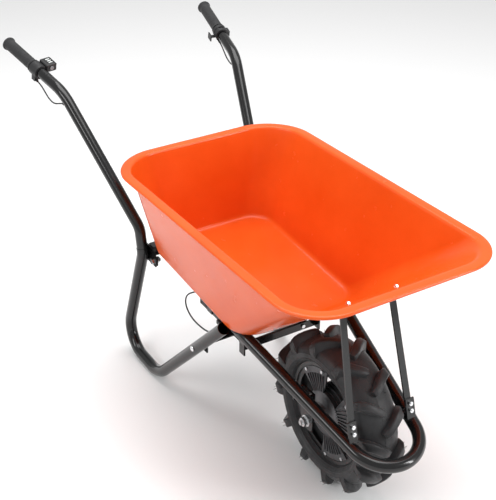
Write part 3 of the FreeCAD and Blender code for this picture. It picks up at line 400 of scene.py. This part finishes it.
def height(shape, x):
    """Height of the sloping floor or rim at a place along the barrow."""
    share = (x - shape["rear"]) / (shape["front"] - shape["rear"])
    return shape["rear_z"] + share * (shape["front_z"] - shape["rear_z"])


def round_ring(shape, grow, lift):
    """Points round the floor or rim outline, grown and lifted by an amount."""
    rear, front = shape["rear"] - grow, shape["front"] + grow
    half = shape["half"] + grow
    rear_r, front_r = shape["rear_r"] + grow, shape["front_r"] + grow
    corners = [(rear + rear_r, half - rear_r, rear_r, 180),
               (front - front_r, half - front_r, front_r, 90),
               (front - front_r, front_r - half, front_r, 0),
               (rear + rear_r, rear_r - half, rear_r, -90)]
    ends = []
    for cx, cy, radius, start in corners:
        arc = []
        for k in range(CORNER_STEPS + 1):
            angle = math.radians(start - 90 * k / CORNER_STEPS)
            arc.append((cx + radius * math.cos(angle), cy + radius * math.sin(angle)))
        ends.append(arc)
    flat = []
    for k, arc in enumerate(ends):
        flat += arc
        ahead = ends[(k + 1) % 4][0]
        for m in range(1, SIDE_STEPS):
            share = m / SIDE_STEPS
            flat.append((arc[-1][0] + (ahead[0] - arc[-1][0]) * share,
                         arc[-1][1] + (ahead[1] - arc[-1][1]) * share))
    return [Vector((x, y, height(shape, x) + lift)) for x, y in flat]


def bend(a, b, c):
    """Rings that turn smoothly from ring a to ring c round ring b."""
    rings = []
    for k in range(BEND_STEPS + 1):
        t = k / BEND_STEPS
        rings.append([p * (1 - t) ** 2 + q * 2 * t * (1 - t) + r * t * t
                      for p, q, r in zip(a, b, c)])
    return rings


def make_tray():
    """The pressed tub: flat floor, sloping walls, rounded edges, flat flange, curled lip."""
    low = round_ring(FLOOR, -SHEET, SHEET)
    top = round_ring(RIM, -FLANGE - SHEET, SHEET)

    def wall(share):
        return [p.lerp(q, share) for p, q in zip(low, top)]

    rings = [round_ring(FLOOR, -FLOOR_MIDDLE_IN, SHEET)]
    rings += bend(round_ring(FLOOR, -FLOOR_BEND_IN, SHEET), low, wall(FLOOR_BEND_SHARE))
    rings += [wall(k / WALL_STEPS) for k in range(1, WALL_STEPS)]
    rings += bend(wall(RIM_BEND_SHARE), top, round_ring(RIM, -FLANGE + RIM_BEND_OUT, SHEET))
    rings.append(round_ring(RIM, -ROLL_START_IN, SHEET))
    for k in range(ROLL_STEPS + 1):
        angle = math.radians(90 - ROLL_TURN * k / ROLL_STEPS)
        rings.append(round_ring(RIM, -ROLL_CENTRE_IN + ROLL_R * math.cos(angle),
                                SHEET - ROLL_R + ROLL_R * math.sin(angle)))
    columns = len(low)
    verts = [p for ring in rings for p in ring]
    faces = grid_faces(len(rings), columns)
    faces.append(tuple(reversed(range(columns))))
    tray = mesh_object("tray_pressing", verts, faces, "orange_enamel", 60.0)
    if tray.data.polygons[-1].normal.z < 0:
        tray.data.flip_normals()
    sheet = tray.modifiers.new("gauge", "SOLIDIFY")
    sheet.thickness = SHEET
    sheet.offset = -1.0
    stand_for(tray, "frame", "orange_enamel", "tray")


# --- tyre -----------------------------------------------------------------------------
AXLE = Vector((0.481, 0.0, 0.207))
LUGS = 12
LUG_SINK = 0.004
LUG_FOOT = 1.28
LUG_CHAMFER = 0.0046
LUG_ROUND = 0.0012
LUG_END_TUCK = 0.006
TREAD_ARC_R = 0.19
CROWN_R = 0.191
SHOULDER_R = 0.156
CROWN_HALF = 0.02
CROWN_WHISKERS = 48
LUG_WHISKER_Y = 0.0565
LUG_WHISKERS = ((0.036, 0.190), (0.044, 0.193), (0.047, 0.182))
WHISKER = [(0, 0.0006), (0.006, 0.0005), (0.0095, 0.0003)]
# a bar's middle line: along the tread, across it, half width, radius at the top
LUG_SPINE = [(0.002, -0.006, 0.0070, 0.2030), (0.005, 0.000, 0.0090, 0.2055),
             (0.012, 0.011, 0.0094, 0.2068), (0.022, 0.023, 0.0096, 0.2066),
             (0.031, 0.035, 0.0100, 0.2052), (0.0375, 0.046, 0.0104, 0.2020),
             (0.0405, 0.0545, 0.0106, 0.1965), (0.0420, 0.0592, 0.0106, 0.1870),
             (0.0425, 0.0600, 0.0102, 0.1740)]
# the left half of the tyre's section, as (distance from the middle, radius) pairs
CARCASS = [(0.0372, 0.1275), (0.0372, 0.1345), (0.0434, 0.1378), (0.0470, 0.1388),
           (0.0478, 0.1402), (0.0502, 0.1412), (0.0525, 0.1430), (0.0546, 0.1455),
           (0.0556, 0.1462), (0.0566, 0.1474), (0.0559, 0.1486), (0.0568, 0.1520),
           (0.0570, 0.1562), (0.0565, 0.1598), (0.0570, 0.1607), (0.0563, 0.1618),
           (0.0548, 0.1662), (0.0520, 0.1712), (0.0480, 0.1760), (0.0428, 0.1798),
           (0.0335, 0.1843), (0.0223, 0.1882), (0.0112, 0.1904), (0.0014, 0.1910),
           (0.0010, 0.1916)]
AIR_SIDE = [(0.0300, 0.1270), (0.0300, 0.1350), (0.0440, 0.1415), (0.0490, 0.1510),
            (0.0470, 0.1620), (0.0390, 0.1710), (0.0205, 0.1792)]
AIR_MIDDLE = (0.0, 0.1820)
TREAD_SIDE = CARCASS[12:]


def lug_phase(side, k):
    """Angle of a tread bar's start; the two sides' bars alternate."""
    return 2 * math.pi * (k + (0.5 if side > 0 else 0.0)) / LUGS


def carcass_radius(y):
    """Outer radius of the tyre without its bars, at a distance from the middle."""
    y = abs(y)
    for (y0, r0), (y1, r1) in zip(TREAD_SIDE, TREAD_SIDE[1:]):
        if y1 <= y <= y0:
            return r0 + (r1 - r0) * (y0 - y) / max(y0 - y1, 1e-9)
    return CROWN_R if y < CROWN_HALF else SHOULDER_R


def lug_points(side, phase):
    """One tread bar: a chamfered ridge that runs from the centre out over the shoulder."""
    rings = []
    last = len(LUG_SPINE) - 1
    for k, (along, across, half, crest) in enumerate(LUG_SPINE):
        before = LUG_SPINE[max(k - 1, 0)]
        after = LUG_SPINE[min(k + 1, last)]
        way = Vector((after[0] - before[0], after[1] - before[1], 0)).normalized()
        normal = Vector((way.y, -way.x, 0))
        root = min(carcass_radius(across), crest) - LUG_SINK
        flank = [(LUG_FOOT, root), (1.06, crest - LUG_CHAMFER), (0.92, crest - LUG_ROUND),
                 (0.70, crest)]
        section = [(-reach, radius) for reach, radius in flank] + [(0.0, crest)] + flank[::-1]
        ring = []
        for reach, radius in section:
            u = along + normal.x * half * reach
            v = across + normal.y * half * reach
            if k >= last - 1:
                v = across - (LUG_END_TUCK if abs(reach) == LUG_FOOT else 0.0)
            angle = phase - u / TREAD_ARC_R
            ring.append(AXLE + Vector((radius * math.sin(angle), side * v,
                                       radius * math.cos(angle))))
        rings.append(ring)
    return rings


def whisker_places():
    """Foot and direction of the thin moulding whiskers on the crown and the bars' ends."""
    places = []
    for k in range(CROWN_WHISKERS):
        angle = 2 * math.pi * (k + random.random() * 0.6) / CROWN_WHISKERS
        y = random.choice((-1, 1)) * random.uniform(0.002, 0.036)
        out = Vector((math.sin(angle), 0, math.cos(angle)))
        lean = out + Vector([random.uniform(-0.3, 0.3) for _ in range(3)])
        places.append((AXLE + Vector((0, y, 0)) + out * (carcass_radius(y) - 0.001), lean))
    for side in (-1, 1):
        for k in range(LUGS):
            for along, radius in LUG_WHISKERS:
                angle = lug_phase(side, k) - along / TREAD_ARC_R
                place = AXLE + Vector((radius * math.sin(angle), side * LUG_WHISKER_Y,
                                       radius * math.cos(angle)))
                lean = Vector((random.uniform(-0.15, 0.15), side, random.uniform(-0.15, 0.15)))
                places.append((place, lean))
    return places


def make_tyre():
    """Off-road tyre: ribbed side walls, centre seam, tread bars and moulding whiskers."""
    profile = CARCASS + [(-y, r) for y, r in reversed(CARCASS)]
    profile += [(-y, r) for y, r in AIR_SIDE] + [AIR_MIDDLE] + AIR_SIDE[::-1]
    verts, faces = lathe(AXLE, (0, 1, 0), profile, 144, True)
    for side in (-1, 1):
        for k in range(LUGS):
            rings = lug_points(side, lug_phase(side, k))
            base, width = len(verts), len(rings[0])
            verts += [p for ring in rings for p in ring]
            for i in range(len(rings) - 1):
                for j in range(width - 1):
                    a = base + i * width + j
                    faces.append((a, a + 1, a + width + 1, a + width))
                a = base + i * width
                faces.append((a + width - 1, a, a + width, a + 2 * width - 1))
            faces.append(tuple(base + j for j in reversed(range(width))))
            faces.append(tuple(base + (len(rings) - 1) * width + j for j in range(width)))
    for place, lean in whisker_places():
        hair, sides = lathe(place, lean, WHISKER, 6)
        base = len(verts)
        verts += hair
        faces += [tuple(base + q for q in face) for face in sides]
    tyre = mesh_object("tyre_moulding", verts, faces, "tyre_rubber", 40.0)
    stand_for(tyre, "wheel", "tyre_rubber", "tyre")


# --- grips ----------------------------------------------------------------------------
GRIP_END = (-0.7494, 0.325245, 0.824327)
GRIP_WAY = (0.959922, -0.168161, -0.224215)
SLEEVE_R = 0.0168
GROOVE_R = 0.01655
GROOVE_HALF = 0.0006
GROOVE_START = 0.0130
GROOVE_PITCH = 0.0042
GROOVES = 27


def make_grips():
    """Closed rubber grips: a flange at the outer end, fine grooves and a bead at the mouth."""
    profile = [(0.0, 0.0004), (0.0, 0.0162), (0.0006, 0.0180), (0.0018, 0.0194),
               (0.0034, 0.0200), (0.0056, 0.0200), (0.0072, 0.0194), (0.0084, 0.0182),
               (0.0096, 0.0173), (0.0112, 0.0169), (GROOVE_START, SLEEVE_R)]
    for k in range(1, GROOVES + 1):
        along = GROOVE_START + k * GROOVE_PITCH
        profile += [(along - GROOVE_HALF, SLEEVE_R), (along, GROOVE_R),
                    (along + GROOVE_HALF, SLEEVE_R)]
    profile += [(0.1312, SLEEVE_R), (0.1322, 0.0176), (0.1334, 0.0188), (0.1350, 0.0190),
                (0.1366, 0.0187), (0.1374, 0.0180), (0.1374, 0.01555), (0.0055, 0.01555),
                (0.0055, 0.0004)]
    for name, side in (("right", -1), ("left", 1)):
        start = (GRIP_END[0], side * GRIP_END[1], GRIP_END[2])
        way = (GRIP_WAY[0], side * GRIP_WAY[1], GRIP_WAY[2])
        verts, faces = lathe(start, way, profile, 72, True)
        grip = mesh_object("grip_sleeve_" + name, verts, faces, "grip_rubber", 50.0)
        stand_for(grip, "frame", "grip_rubber", "grip_" + name)


make_camera()
LEADS = make_cords()
make_stage()
LOOKS = make_materials()
for lead in LEADS:
    lead.data.materials.append(LOOKS["cable_rubber"])
make_tray()
make_tyre()
make_grips()

bpy.context.view_layer.update()
